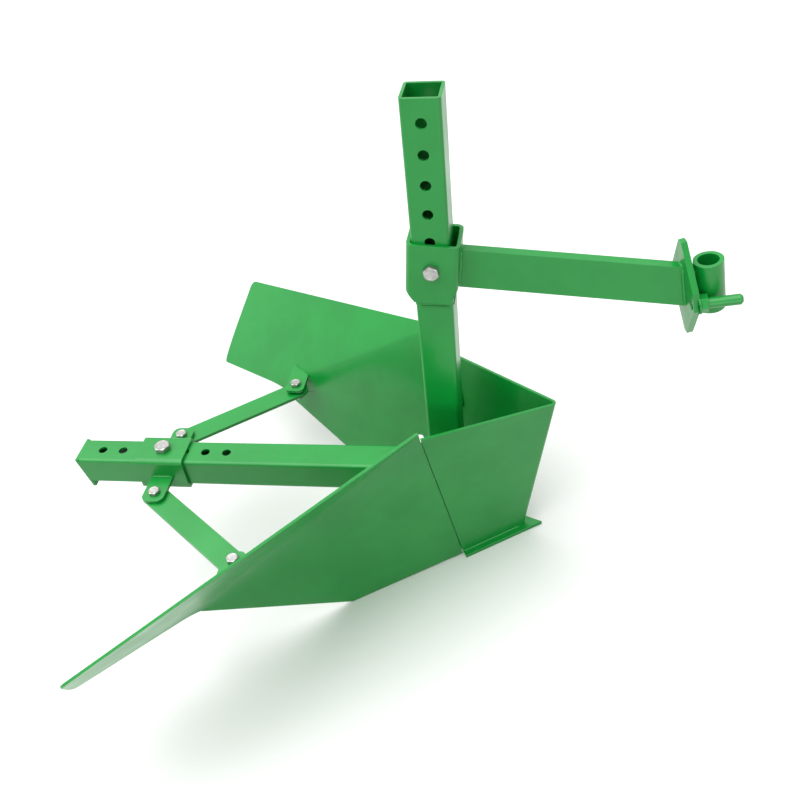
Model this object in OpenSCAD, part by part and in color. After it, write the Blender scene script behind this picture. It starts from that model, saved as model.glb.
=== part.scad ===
// Walk behind ridger: a vee shaped ridging body with two hinged mouldboards,
// a raised rear bar with a sliding spreader sleeve, and an adjustable drawbar.
// X points forward to the hitch, Y to the machine's left, Z up.
// The origin is on the underside of the sole, below the shank.

/* [Shank] */
// Outside width of the square upper tube
tube_w = 50; // [46:1:54]
// Wall of the upper tube
tube_t = 4; // [3:0.5:5]
// Radius of the upper tube's outer corners
tube_r = 5; // [3:0.5:6]
// Height of the top of the upper tube above the bar line
shank_top = 744; // [735:1:780]
// Height of the lower end of the upper tube above the bar line
shank_low = 458; // [440:1:462]
// Outside width of the square lower leg
leg_w = 50; // [48:1:50]
// Wall of the lower leg
leg_t = 4; // [3.5:0.5:5]
// Diameter of the height holes
hole_d = 14; // [13:0.5:15]
// Distance between two height holes
hole_pitch = 39.5; // [36:0.5:40]
// Height of the lowest height hole above the bar line
bolt_z = 516; // [512:1:524]

/* [Collar and drawbar] */
// Angle that the drawbar drops towards the hitch
droop = 5.1; // [0:0.1:5.2]
// Height of the collar
collar_h = 87; // [80:1:92]
// Height of the collar below its bolt
collar_low = 50; // [44:1:52]
// Wall of the collar
collar_t = 5; // [4:0.5:6]
// Free space in the collar behind the shank
collar_gap_rear = 4.4; // [4.2:0.1:6]
// Free space in the collar in front of the shank
collar_gap_front = 5.5; // [5.2:0.1:8]
// Free space beside the shank, each side
collar_gap_side = 0.6; // [0.4:0.1:1]
// Outer radius of the collar's vertical bends
collar_r = 9; // [7:0.5:11]
// Height of the drawbar
bar_h = 57; // [50:1:60]
// Thickness of the drawbar
bar_t = 14; // [10:1:18]
// Distance from the shank's middle to the hitch plate
hitch_x = 321; // [290:1:350]

/* [Hitch] */
// Height of the pointed hitch plate
plate_h = 140; // [130:1:150]
// Width of the hitch plate
plate_w = 80; // [78:1:88]
// Height of the hitch plate's straight sides
plate_side = 28; // [24:1:34]
// Width of the cut off points of the hitch plate
plate_tip = 10; // [8:1:14]
// Thickness of the hitch plate
plate_t = 8; // [6:0.5:10]
// Angle that the hitch plate is turned about its upright middle line
plate_turn = 14; // [0:1:16]
// Outside diameter of the hitch socket
socket_d = 38; // [36:1:40]
// Bore of the hitch socket
socket_bore = 27; // [25:0.5:28]
// Height of the hitch socket
socket_h = 70; // [62:1:76]
// Distance of a stop bolt from the middle of the hitch plate
stop_y = 30; // [29:0.5:31]
// Length of a stop bolt
stop_len = 53; // [50:1:60]

/* [Fasteners] */
// Shank diameter of the stop bolts and the sleeve bolt
stud_d = 14; // [12:1:14]
// Shank diameter of the collar bolt
bolt_d = 12; // [10:1:12]
// Shank diameter of the lug bolts, bracket bolts and hinge pins
pivot_d = 10; // [8:1:10]
// Running clearance round a bolt or pin, on the radius
run_gap = 0.08; // [0.06:0.01:0.09]
// Clearance between flat faces that move past each other
face_gap = 0.3; // [0.2:0.05:0.5]

/* [Rear bar] */
// Outside width of the square rear bar
rear_w = 52; // [48:1:52]
// Wall of the rear bar
rear_t = 4; // [3:0.5:5]
// Height of the bar's top face above the bar line
rear_top = 150; // [146:1:152]
// Distance from the shank's middle to the rear end
rear_len = 629; // [615:1:650]
// How much shorter the underside is at the rear end
rear_slant = 11; // [0:1:20]
// Diameter of the holes in the rear bar
rear_hole = 15; // [14.5:0.5:16]
// Distance between two holes in the rear bar
rear_pitch = 37; // [36:0.5:38]
// Distance from the shank's middle to the first hole
rear_first = 366; // [360:1:370]

/* [Spreader sleeve] */
// Length of the sleeve along the bar
sleeve_len = 84; // [76:1:92]
// Wall of the sleeve
sleeve_t = 5; // [4:0.5:6]
// Free space between the sleeve and the bar
sleeve_gap = 0.6; // [0.4:0.1:1]
// Distance of a lug bolt from the middle plane
lug_y = 68.7; // [66:0.1:72]
// Width of a lug
lug_w = 38; // [34:1:42]
// Width of a link
link_w = 40; // [34:1:42]
// Thickness of the links, lugs and brackets
link_t = 6; // [5:0.5:7]
// Free height between a link and the parts it is bolted to at the wing
swing_play = 4.7; // [4.5:0.1:6]
// Free space round the bracket bolt in the link, on the radius
pivot_play = 3.7; // [3.5:0.1:4]

/* [Ridging body] */
// Thickness of the mouldboards and vee panels
sheet_t = 4; // [3:0.5:5]
// Thickness of the sole plate
sole_t = 6; // [5:0.5:7]
// How far the sole stands out past the vee panels
sole_lip = 10; // [6:1:12]
// Outer radius of the fold at the nose
nose_r = 7; // [6.5:0.5:9]
// Gap between a vee panel and its mouldboard
seam_gap = 2; // [1.8:0.1:3]
// Angle between the sole and the bars
rake = 8; // [7.5:0.1:8.5]
// Angle that the shank leans forward from square to the bars
lean = 1.7; // [1:0.1:2]
// Outside diameter of the hinge barrels
barrel_d = 18; // [16:1:20]
// Radius of the flaps' rear corners
flap_r = 14; // [8:1:20]

/* [Hidden] */
green = [0.10, 0.55, 0.26];
zinc = [0.66, 0.66, 0.68];
$fn = 48;

// Height of the bars' frame above the ground, below the shank
lift = 21;
// Corners of the left vee panel and of the left mouldboard, on the ground frame
nose_foot = [126, 0, sole_t];
nose_top = [215, 0, 259];
panel_rear = [29, 108, 308];
heel = [-157, 144, 0];
share_low = [-333, 259, 139];
flap_top = [-410, 464, 261.5];
flap_low = [-498.6, 380.4, 130.2];

function unit(v) = v / norm(v);
// Turn about Y by an angle, the forward end going down
function pitch(v, a) = [v.x * cos(a) + v.z * sin(a), v.y, v.z * cos(a) - v.x * sin(a)];
// A point of the bars' frame, on the ground frame
function on_ground(v) = pitch(v, rake) + [0, 0, lift];
// A point on the curve that leaves a towards b and arrives at c
function curve(a, b, c, s) = (1 - s) * (1 - s) * a + 2 * s * (1 - s) * b + s * s * c;
// The point a share s of the way from a to b
function mix(a, b, s) = (1 - s) * a + s * b;
// The normal of the plane through three points, pointing to the left side
function outward(a, b, c) =
  let (n = unit(cross(b - a, c - a))) n.y < 0 ? -n : n;
// Where the line from p along d meets the plane through o with normal n
function meet(p, d, o, n) = p + d * (((o - p) * n) / (d * n));
function mirrored(v) = [v.x, -v.y, v.z];
// The part of v that is square to w
function square_to(v, w) = unit(v - (v * w) * w);

// Left vee panel and the seam behind it
panel_n = outward(nose_foot, panel_rear, nose_top);
seam_foot = meet([21, 40, sole_t], [0, 1, 0], nose_foot, panel_n);
seam_dir = unit(panel_rear - seam_foot);
foot_dir = unit(seam_foot - nose_foot);
panel_back = square_to(foot_dir, seam_dir);
lip_n = [foot_dir.y, -foot_dir.x, 0];
// Fold at the nose
nose_dir = unit(nose_top - nose_foot);
nose_n = unit(panel_n + mirrored(panel_n));
fold_cos = panel_n * nose_n;
fold_axis = nose_foot - nose_n * nose_r / fold_cos;
fold_leg = nose_r * sqrt(1 - fold_cos * fold_cos) / fold_cos;
nose_back = square_to(seam_foot - nose_foot, nose_dir);
top_n = unit(cross(panel_rear - nose_top, mirrored(panel_rear) - nose_top));
up_n = top_n.z < 0 ? -top_n : top_n;

// Left mouldboard
seam_line = seam_foot + seam_gap * panel_back;
wing_foot = seam_line - 3 * seam_dir;
wing_head = seam_line + 336 * seam_dir + 13 * panel_n;
wing_n = outward(wing_foot, heel, seam_line + 200 * seam_dir);
wing_back = square_to(heel - wing_foot, seam_dir);
// Lower rear corner of the share, and the foot of the bend just above it
share_end = meet(share_low, [0, 1, 0], wing_foot, wing_n);
bend = share_end + 6 * seam_dir;
head_1 = seam_line + 225 * seam_dir;
head_mid = seam_line + 292 * seam_dir + 1.5 * panel_n;
bend_1 = bend + 14 * unit(heel - bend);
bend_2 = bend + 34 * unit(flap_low - bend);
// Rows of the bent sheet, each from its front or top edge to its rear or low edge
flap_long = norm(flap_top - wing_head);
flap_from = 48;
function inset(d) = let (e = max(d - flap_long + flap_r, 0)) flap_r - sqrt(flap_r * flap_r - e * e);
function top_at(d) = mix(wing_head, flap_top, d / flap_long);
function low_at(d) = mix(bend_2, flap_low, (d - flap_from) / (flap_long - flap_from));
function pulled(a, b, d) = a + inset(d) * unit(b - a);
flap_at = concat([for (i = [1:6]) mix(flap_from, flap_long - flap_r, i / 6)],
  [for (i = [1:5]) flap_long - flap_r * (1 - sin(18 * i))]);
row_top = concat([wing_foot, mix(wing_foot, head_1, 0.93)],
  [for (i = [0:6]) curve(head_1, head_mid, wing_head, i / 6)],
  [for (i = [1:3]) top_at(flap_from * i / 3)],
  [for (d = flap_at) pulled(top_at(d), low_at(d), d)]);
row_low = concat([heel, share_end], [for (i = [0:9]) curve(bend_1, bend, bend_2, i / 9)],
  [for (d = flap_at) pulled(low_at(d), top_at(d), d)]);
function facing(n) = n * wing_n < 0 ? -n : n;
// The middle of a row, and the normal of the sheet along it
row_mid = [for (i = [0:len(row_top) - 1]) mix(row_top[i], row_low[i], 0.6)];
row_n = [for (i = [0:len(row_top) - 1]) i < 3 ? wing_n
  : facing(unit(cross(row_low[i] - row_top[i], row_mid[min(i + 1, len(row_top) - 1)]
    - row_mid[i - 1])))];

// Sole and webs
sole_rear = -45;
web_t = 8;
web_h = 94;
web_w = 160;
web_x = leg_w - tube_w / 2;
cross_t = 6;

// Hinge
barrel_r = barrel_d / 2;
hinge_o = seam_foot + seam_gap / 2 * panel_back
  - (sheet_t + face_gap + barrel_r) * panel_n;
pin_r = pivot_d / 2;
bore_r = pin_r + run_gap;
leaf_t = 3;
leaf_len = 32;
low_1 = 25;
low_2 = 88;
high_1 = 205;
high_2 = 292;

// Collar, drawbar and hitch
collar_top = collar_h - collar_low;
collar_rear = -(tube_w / 2 + collar_gap_rear + collar_t);
collar_front = tube_w / 2 + collar_gap_front + collar_t;
collar_in = tube_w / 2 + collar_gap_side;
collar_out = collar_in + collar_t;
bar_mid = -7;
bolt_ground = on_ground(pitch([0, 0, bolt_z], lean));
hitch_o = bolt_ground + pitch([hitch_x, 0, bar_mid], rake + lean + droop);
plate_mid = -6;
socket_x = plate_t + 6 + socket_d / 2;
socket_low = -38;
stop_z = -13;
stop_flats = 21;
stop_nut_h = 14;

// Rear bar, sleeve and links
rear_mid = rear_top - rear_w / 2;
rear_low = rear_top - rear_w;
slope = rear_slant / rear_w;
cap_t = 5;
cap_low = 9;
sleeve_x = -(rear_first + 3 * rear_pitch);
sleeve_in = rear_w / 2 + sleeve_gap;
sleeve_out = sleeve_in + sleeve_t;
link_rise = 11.7;
link_z = rear_low + link_rise;
link_top = link_z + link_t;
lug_z = link_top + face_gap;
lug_top = lug_z + link_t;
bracket_gap = 0.3;
bracket_z = link_top + swing_play;
bracket_top = bracket_z + link_t;
pivot_x = -300;
pivot_y = 203.5;
link_v = [pivot_x - sleeve_x, pivot_y - lug_y];

// Frames
module bars_place() translate([0, 0, lift]) rotate([0, rake, 0]) children();
module shank_place() bars_place() rotate([0, lean, 0]) children();
module drawbar_place() shank_place() translate([0, 0, bolt_z]) rotate([0, droop, 0]) children();
module hitch_place() translate(hitch_o) children();
module right_side() mirror([0, 1, 0]) children();
// Puts x, y and z along u, v and w at the point o
module frame_at(o, u, v, w) {
  multmatrix([[u.x, v.x, w.x, o.x], [u.y, v.y, w.y, o.y], [u.z, v.z, w.z, o.z], [0, 0, 0, 1]])
    children();
}
// Everything on the n side of the plane through o
module beyond(o, n) {
  u = square_to(abs(n.z) < 0.9 ? [0, 0, 1] : [1, 0, 0], n);
  frame_at(o, u, cross(n, u), n) translate([-900, -900, 0]) cube([1800, 1800, 900]);
}
// A flat plate on a plane outline, from depth low to depth high against n
module flat_plate(points, n, low, high) {
  o = points[0];
  u = unit(points[1] - o);
  w = cross(-n, u);
  frame_at(o, u, w, -n) translate([0, 0, low]) linear_extrude(high - low)
    polygon([for (p = points) [(p - o) * u, (p - o) * w]]);
}
// The mouldboard as one bent sheet, from depth low to depth high
module wing_sheet(low, high) {
  m = len(row_top);
  points = [for (i = [0:m - 1]) each [row_top[i] - low * row_n[i],
    row_low[i] - low * row_n[i], row_low[i] - high * row_n[i], row_top[i] - high * row_n[i]]];
  sides = [for (i = [0:m - 2], k = [0:3]) let (a = 4 * i + k, b = 4 * i + (k + 1) % 4)
    each [[a, b, b + 4], [a, b + 4, a + 4]]];
  polyhedron(points, concat(sides, [[0, 2, 1], [0, 3, 2],
    [4 * m - 4, 4 * m - 3, 4 * m - 2], [4 * m - 4, 4 * m - 2, 4 * m - 1]]));
}
module panel_sheet(low, high) {
  e = fold_leg * nose_back;
  flat_plate([nose_foot + e - 40 * nose_dir, nose_top + e + 40 * nose_dir,
    panel_rear + 40 * seam_dir, seam_foot - 40 * seam_dir], panel_n, low, high);
}
// A vee panel with its half of the rounded fold at the nose
module panel_left() {
  half = acos(fold_cos);
  turns = [for (i = [0:8]) i * half / 8];
  back = 300 * [-sin(half), cos(half)];
  outer = [for (a = turns) nose_r * [cos(a), sin(a)]];
  inner = [for (a = turns) (nose_r - sheet_t) * [cos(half - a), sin(half - a)]];
  difference() {
    frame_at(fold_axis, nose_n, cross(nose_dir, nose_n), nose_dir) translate([0, 0, -40])
      linear_extrude(norm(nose_top - nose_foot) + 120)
        polygon(concat(outer, [outer[8] + back, inner[0] + back], inner));
    beyond([0, 0, sole_t], [0, 0, -1]);
    beyond(nose_top, up_n);
    beyond(seam_foot, panel_back);
  }
}
module leg_block() {
  shank_place() translate([-tube_w / 2, -leg_w / 2, -200]) cube([leg_w, leg_w, 800]);
}
module panel_blocks() {
  panel_sheet(-80, sheet_t);
  right_side() panel_sheet(-80, sheet_t);
  beyond(fold_axis, nose_n);
}
module round_rect(x, y, r) {
  square([x - 2 * r, y], center = true);
  square([x, y - 2 * r], center = true);
  for (i = [-1, 1], j = [-1, 1]) translate([i * (x / 2 - r), j * (y / 2 - r)]) circle(r);
}
// A square tube standing on z = 0
module square_tube(w, t, r, height) {
  linear_extrude(height) difference() {
    round_rect(w, w, r);
    round_rect(w - 2 * t, w - 2 * t, max(r - t, 1));
  }
}
// A hexagon with its flats a given distance apart
module hexagon(flats, height) {
  cylinder(h = height, d = flats / cos(30), $fn = 6);
}
// A bolt head with a chamfered top, its underside on z = 0
module bolt_head(flats, height) {
  intersection() {
    hexagon(flats, height);
    cylinder(h = height, r1 = flats / 2 + 3.6, r2 = flats / 2 - 0.4);
  }
}
module ring_nut(flats, height, r) {
  difference() {
    hexagon(flats, height);
    translate([0, 0, -1]) cylinder(h = height + 2, r = r);
  }
}
// One barrel with its leaf: axis at a, leaf towards side, between s1 and s2
module barrel(a, side, s1, s2) {
  translate([0, 0, s1]) linear_extrude(s2 - s1) difference() {
    union() {
      translate(a) circle(barrel_r);
      if (side < 0) translate([-leaf_len, sheet_t]) square([leaf_len + a.x - 1.5, leaf_t]);
      else translate([a.x + 1.5, sheet_t]) square([leaf_len - 1.5, leaf_t]);
    }
    translate(a) circle(bore_r);
  }
}
module panel_barrel(s1, s2) {
  frame_at(seam_foot, panel_back, cross(seam_dir, panel_back), seam_dir)
    barrel([seam_gap / 2, sheet_t + face_gap + barrel_r], -1, s1, s2);
}
module pin() {
  frame_at(hinge_o, panel_back, cross(seam_dir, panel_back), seam_dir) {
    translate([0, 0, low_1 - 5]) cylinder(h = high_2 - low_1 + 6, r = pin_r);
    translate([0, 0, high_2]) cylinder(h = 4, r = pin_r + 3);
  }
}
module wing_barrel() {
  v = cross(seam_dir, wing_back);
  o = seam_foot + seam_gap * panel_back;
  frame_at(o, wing_back, v, seam_dir)
    barrel([(hinge_o - o) * wing_back, (hinge_o - o) * v], 1, low_2 + face_gap, high_1 - face_gap);
}
// A tab as wide as w, its free end with two round corners, from y = 0 to y = long
module tab(w, long, r) {
  square([w, long - r]);
  translate([r, 0]) square([w - 2 * r, long]);
  for (x = [r, w - r]) translate([x, long - r]) circle(r);
}
module bracket() {
  w = link_w - 6;
  n = row_n[9];
  difference() {
    bars_place() translate([0, 0, bracket_z]) linear_extrude(link_t) difference() {
      translate([pivot_x + w / 2, pivot_y + 90]) rotate(180) tab(w, 90 + w / 2, 9);
      translate([pivot_x, pivot_y]) circle(r = bore_r);
    }
    beyond(row_low[9] - (sheet_t + bracket_gap) * n, n);
  }
}
module bracket_bolt() {
  bars_place() translate([pivot_x, pivot_y, 0]) {
    translate([0, 0, bracket_top]) bolt_head(17, 6.4);
    translate([0, 0, link_z - swing_play - 11])
      cylinder(h = bracket_top - link_z + swing_play + 12, r = pin_r);
  }
}
module bracket_nut() {
  bars_place() translate([pivot_x, pivot_y, link_z - swing_play - 8]) ring_nut(17, 8, bore_r);
}
module lug() {
  bars_place() translate([sleeve_x, 0, lug_z]) linear_extrude(link_t) difference() {
    translate([-lug_w / 2, sleeve_out]) tab(lug_w, lug_y + lug_w / 2 - sleeve_out, 12);
    translate([0, lug_y]) circle(r = bore_r);
  }
}
module lug_bolt() {
  bars_place() translate([sleeve_x, lug_y, 0]) {
    translate([0, 0, lug_top]) bolt_head(17, 6.4);
    translate([0, 0, link_z - 11]) cylinder(h = lug_top - link_z + 12, r = pin_r);
  }
}
module lug_nut() {
  bars_place() translate([sleeve_x, lug_y, link_z - 8 - face_gap]) ring_nut(17, 8, bore_r);
}
module link() {
  long = norm(link_v);
  w = link_w / 2;
  bars_place() translate([sleeve_x, lug_y, link_z]) rotate([0, 0, atan2(link_v.y, link_v.x)])
    linear_extrude(link_t) difference() {
      union() {
        translate([long, 0]) circle(r = w);
        polygon([[-15, 6 - w], [-9, -w], [long, -w], [long, w], [-9, w], [-15, w - 6]]);
      }
      circle(r = bore_r);
      translate([long, 0]) circle(r = pin_r + pivot_play);
    }
}
// Everything behind the turned hitch plate's front face, or in front of its rear face
module behind_plate() rotate(plate_turn) translate([plate_t - 100, -100, -200]) cube([100, 200, 400]);
module before_plate() rotate(plate_turn) translate([0, -100, -200]) cube([200, 200, 400]);
// Where the plate's front face is at the stop bolt of a side, 1 for left and -1 for right
function face_x(side) = (plate_t - side * stop_y * sin(plate_turn)) / cos(plate_turn);
module stop_nut(side) {
  hitch_place() difference() {
    translate([face_x(side) - 8, side * stop_y, stop_z]) rotate([0, 90, 0]) rotate(30)
      ring_nut(stop_flats, stop_nut_h + 6, stud_d / 2 + run_gap);
    behind_plate();
  }
}
module stop_bolt(side) {
  hitch_place() translate([face_x(side) + 1, side * stop_y, stop_z]) rotate([0, 90, 0]) {
    cylinder(h = 3, r1 = stud_d / 2 - 2, r2 = stud_d / 2);
    translate([0, 0, 3]) cylinder(h = stop_len - 6, r = stud_d / 2);
    translate([0, 0, stop_len - 3]) cylinder(h = 3, r1 = stud_d / 2, r2 = stud_d / 2 - 3);
  }
}

module upper_tube() {
  color(green) shank_place() difference() {
    translate([0, 0, shank_low]) square_tube(tube_w, tube_t, tube_r, shank_top - shank_low);
    for (k = [0:5]) translate([0, 0, bolt_z + k * hole_pitch]) rotate([90, 0, 0])
      cylinder(h = tube_w + 2, d = hole_d, center = true);
  }
}
module lower_leg() {
  color(green) difference() {
    shank_place() translate([(leg_w - tube_w) / 2, 0, -60])
      square_tube(leg_w, leg_t, tube_r, shank_low + 60);
    beyond([0, 0, sole_t], [0, 0, -1]);
  }
}
module vee_panel_left() color(green) panel_left();
module vee_panel_right() color(green) right_side() panel_left();
module sole_plate() {
  tip = [nose_foot.x + sole_lip / lip_n.x, 0];
  side = [seam_foot.x + sole_lip * lip_n.x, seam_foot.y + sole_lip * lip_n.y];
  inner = [seam_foot.x - 12 * lip_n.x, seam_foot.y - 12 * lip_n.y];
  color(green) linear_extrude(sole_t) polygon([tip, side, inner, [sole_rear, inner.y],
    [sole_rear, -inner.y], [inner.x, -inner.y], [side.x, -side.y]]);
}
module nose_web() {
  color(green) difference() {
    translate([0, -web_t / 2, sole_t]) cube([nose_top.x, web_t, web_h]);
    leg_block();
    panel_blocks();
    shank_place() translate([-200, -10, -100]) cube([200, 20, 400]);
  }
}
module cross_web() {
  color(green) difference() {
    translate([0, 0, sole_t + web_h]) linear_extrude(cross_t)
      polygon([[web_x, -leg_w / 2], [web_x + 23, -web_w / 2], [nose_top.x, -web_w / 2],
        [nose_top.x, web_w / 2], [web_x + 23, web_w / 2], [web_x, leg_w / 2]]);
    leg_block();
    panel_blocks();
  }
}
module rear_bar() {
  color(green) difference() {
    bars_place() difference() {
      translate([0, 0, rear_mid]) rotate([0, -90, 0])
        square_tube(rear_w, rear_t, tube_r, rear_len + 20);
      for (k = [0:6]) translate([-rear_first - k * rear_pitch, 0, rear_mid])
        cylinder(h = rear_w + 2, d = rear_hole, center = true);
      translate([0, 50, 0]) rotate([90, 0, 0]) linear_extrude(100)
        polygon([[-rear_len + cap_t, rear_top], [-rear_len + cap_t + slope * 90, rear_top - 90],
          [-rear_len - 90, rear_top - 90], [-rear_len - 90, rear_top + 20],
          [-rear_len + cap_t - slope * 20, rear_top + 20]]);
    }
    shank_place() translate([-tube_w / 2, -60, -60]) cube([120, 120, 400]);
  }
}
module end_cap() {
  d = slope * (rear_w + cap_low);
  low = rear_low - cap_low;
  color(green) bars_place() translate([0, rear_w / 2, 0]) rotate([90, 0, 0]) linear_extrude(rear_w)
    polygon([[-rear_len, rear_top], [-rear_len + cap_t, rear_top],
      [-rear_len + cap_t + d, low], [-rear_len + d, low]]);
}
module barrel_low_left() color(green) panel_barrel(low_1, low_2);
module barrel_low_right() color(green) right_side() panel_barrel(low_1, low_2);
module barrel_high_left() color(green) panel_barrel(high_1, high_2);
module barrel_high_right() color(green) right_side() panel_barrel(high_1, high_2);
module hinge_pin_left() color(zinc) pin();
module hinge_pin_right() color(zinc) right_side() pin();
module mouldboard_left() color(green) wing_sheet(0, sheet_t);
module mouldboard_right() color(green) right_side() wing_sheet(0, sheet_t);
module wing_barrel_left() color(green) wing_barrel();
module wing_barrel_right() color(green) right_side() wing_barrel();
module bracket_left() color(green) bracket();
module bracket_right() color(green) right_side() bracket();
module bracket_bolt_left() color(zinc) bracket_bolt();
module bracket_bolt_right() color(zinc) right_side() bracket_bolt();
module bracket_nut_left() color(zinc) bracket_nut();
module bracket_nut_right() color(zinc) right_side() bracket_nut();
module collar() {
  x = collar_front - collar_rear;
  y = 2 * collar_out;
  color(green) drawbar_place() difference() {
    translate([(collar_front + collar_rear) / 2, 0, -collar_low]) linear_extrude(collar_h)
      difference() {
        round_rect(x, y, collar_r);
        round_rect(x - 2 * collar_t, y - 2 * collar_t, collar_r - collar_t);
      }
    translate([0, 50, 0]) rotate([90, 0, 0]) linear_extrude(100)
      polygon([[collar_rear - 1, -collar_low - 1], [collar_rear + 13, -collar_low - 1],
        [collar_rear + 13, -collar_low], [collar_rear, -collar_low + 16],
        [collar_rear - 1, -collar_low + 16]]);
    translate([0, 50, 0]) rotate([90, 0, 0]) linear_extrude(100)
      polygon([[collar_front + 1, -collar_low - 1], [collar_front - 9, -collar_low - 1],
        [collar_front - 9, -collar_low], [collar_front, -collar_low + 22],
        [collar_front + 1, -collar_low + 22]]);
    rotate([90, 0, 0]) cylinder(h = y + 2, r = bolt_d / 2 + run_gap, center = true);
  }
}
module collar_bolt() {
  color(zinc) drawbar_place() rotate([90, 0, 0]) {
    translate([0, 0, collar_out]) bolt_head(19, 7.5);
    translate([0, 0, tube_w / 2 + face_gap])
      cylinder(h = collar_out - tube_w / 2 - face_gap + 1, r = bolt_d / 2);
  }
}
module collar_nut() {
  color(zinc) drawbar_place() rotate([-90, 0, 0]) {
    translate([0, 0, collar_out]) hexagon(19, 10);
    translate([0, 0, tube_w / 2 + face_gap])
      cylinder(h = collar_out - tube_w / 2 - face_gap + 14, r = bolt_d / 2);
  }
}
module drawbar() {
  color(green) difference() {
    drawbar_place() translate([collar_front, -bar_t / 2, bar_mid - bar_h / 2])
      cube([hitch_x, bar_t, bar_h]);
    hitch_place() before_plate();
  }
}
module hitch_plate() {
  w = plate_w / 2;
  h = plate_h / 2;
  s = plate_side / 2;
  t = plate_tip / 2;
  color(green) hitch_place() difference() {
    rotate(plate_turn) translate([0, 0, plate_mid]) rotate([90, 0, 90]) linear_extrude(plate_t)
      polygon([[w, s], [t, h], [-t, h], [-w, s], [-w, -s], [-t, -h], [t, -h], [w, -s]]);
    for (i = [-1, 1]) translate([-plate_w / 2, i * stop_y, stop_z]) rotate([0, 90, 0])
      cylinder(h = plate_w, r = stud_d / 2 + run_gap);
  }
}
module hitch_socket() {
  color(green) hitch_place() translate([socket_x, 0, socket_low]) difference() {
    cylinder(h = socket_h, d = socket_d);
    translate([0, 0, -1]) cylinder(h = socket_h + 2, d = socket_bore);
  }
}
module socket_web() {
  color(green) hitch_place() difference() {
    translate([0, -6, socket_low + 8]) cube([socket_x, 12, socket_h - 15]);
    translate([socket_x, 0, socket_low]) cylinder(h = socket_h, d = socket_d);
    behind_plate();
  }
}
module stop_nut_left() color(green) stop_nut(1);
module stop_nut_right() color(green) stop_nut(-1);
module stop_bolt_left() color(green) stop_bolt(1);
module stop_bolt_right() color(green) stop_bolt(-1);
module spreader_sleeve() {
  color(green) bars_place() difference() {
    translate([sleeve_x + sleeve_len / 2, 0, rear_mid]) rotate([0, -90, 0])
      linear_extrude(sleeve_len) difference() {
        round_rect(2 * sleeve_out, 2 * sleeve_out, 8);
        round_rect(2 * sleeve_in, 2 * sleeve_in, 3);
      }
    translate([sleeve_x, 0, rear_mid])
      cylinder(h = 2 * sleeve_out + 2, r = stud_d / 2 + run_gap, center = true);
  }
}
module lug_left() color(green) lug();
module lug_right() color(green) right_side() lug();
module sleeve_bolt() {
  color(zinc) bars_place() translate([sleeve_x, 0, rear_mid]) {
    translate([0, 0, sleeve_out]) bolt_head(24, 9);
    translate([0, 0, rear_w / 2 + face_gap])
      cylinder(h = sleeve_out - rear_w / 2 - face_gap + 1, r = stud_d / 2);
  }
}
module sleeve_nut() {
  color(zinc) bars_place() translate([sleeve_x, 0, rear_mid]) rotate([180, 0, 0]) {
    translate([0, 0, sleeve_out]) hexagon(24, 12);
    translate([0, 0, rear_w / 2 + face_gap])
      cylinder(h = sleeve_out - rear_w / 2 - face_gap + 16, r = stud_d / 2);
  }
}
module lug_bolt_left() color(zinc) lug_bolt();
module lug_bolt_right() color(zinc) right_side() lug_bolt();
module lug_nut_left() color(zinc) lug_nut();
module lug_nut_right() color(zinc) right_side() lug_nut();
module link_left() color(green) link();
module link_right() color(green) right_side() link();

upper_tube();
lower_leg();
vee_panel_right();
vee_panel_left();
sole_plate();
nose_web();
cross_web();
rear_bar();
end_cap();
barrel_low_right();
barrel_low_left();
barrel_high_right();
barrel_high_left();
hinge_pin_right();
hinge_pin_left();
mouldboard_right();
mouldboard_left();
wing_barrel_right();
wing_barrel_left();
bracket_right();
bracket_left();
bracket_bolt_right();
bracket_bolt_left();
bracket_nut_right();
bracket_nut_left();
collar();
collar_bolt();
collar_nut();
drawbar();
hitch_plate();
hitch_socket();
socket_web();
stop_nut_right();
stop_nut_left();
stop_bolt_right();
stop_bolt_left();
spreader_sleeve();
lug_right();
lug_left();
sleeve_bolt();
sleeve_nut();
lug_bolt_right();
lug_bolt_left();
lug_nut_right();
lug_nut_left();
link_right();
link_left();
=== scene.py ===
# %% [markdown]
# # A walk behind ridger
# This lesson dresses a ridger for a walking tractor: a shank with a row of holes, a collar with
# its drawbar and hitch, and a vee shaped body with two swinging mouldboards.
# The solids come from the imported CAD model. We keep the ones that are already right and give
# them paint, and we work out new surfaces where the real object has more to show: bent sheet,
# bolts, and the weld beads that hold the pieces together.

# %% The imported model
import bpy
import numpy as np
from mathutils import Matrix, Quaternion, Vector


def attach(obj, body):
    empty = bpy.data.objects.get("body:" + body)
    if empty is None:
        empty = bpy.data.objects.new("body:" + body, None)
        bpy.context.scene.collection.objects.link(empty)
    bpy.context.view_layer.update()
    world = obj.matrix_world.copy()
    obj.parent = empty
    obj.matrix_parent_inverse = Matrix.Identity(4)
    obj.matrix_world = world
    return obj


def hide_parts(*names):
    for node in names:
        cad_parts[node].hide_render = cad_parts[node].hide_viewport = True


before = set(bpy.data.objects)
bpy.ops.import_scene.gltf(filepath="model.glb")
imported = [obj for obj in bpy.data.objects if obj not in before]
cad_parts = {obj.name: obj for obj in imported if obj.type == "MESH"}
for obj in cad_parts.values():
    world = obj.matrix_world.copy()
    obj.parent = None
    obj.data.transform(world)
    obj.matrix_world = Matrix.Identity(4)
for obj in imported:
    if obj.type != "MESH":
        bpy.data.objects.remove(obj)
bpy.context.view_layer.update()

# %% [markdown]
# ## Places
# The drawing of a ridger is easiest in three leaning frames: one along the rear bar, one along
# the shank and one along the drawbar. The functions below take points in millimetres in such a
# frame and give them in the frame of the ground, where X is forward and Z is up.

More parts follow.
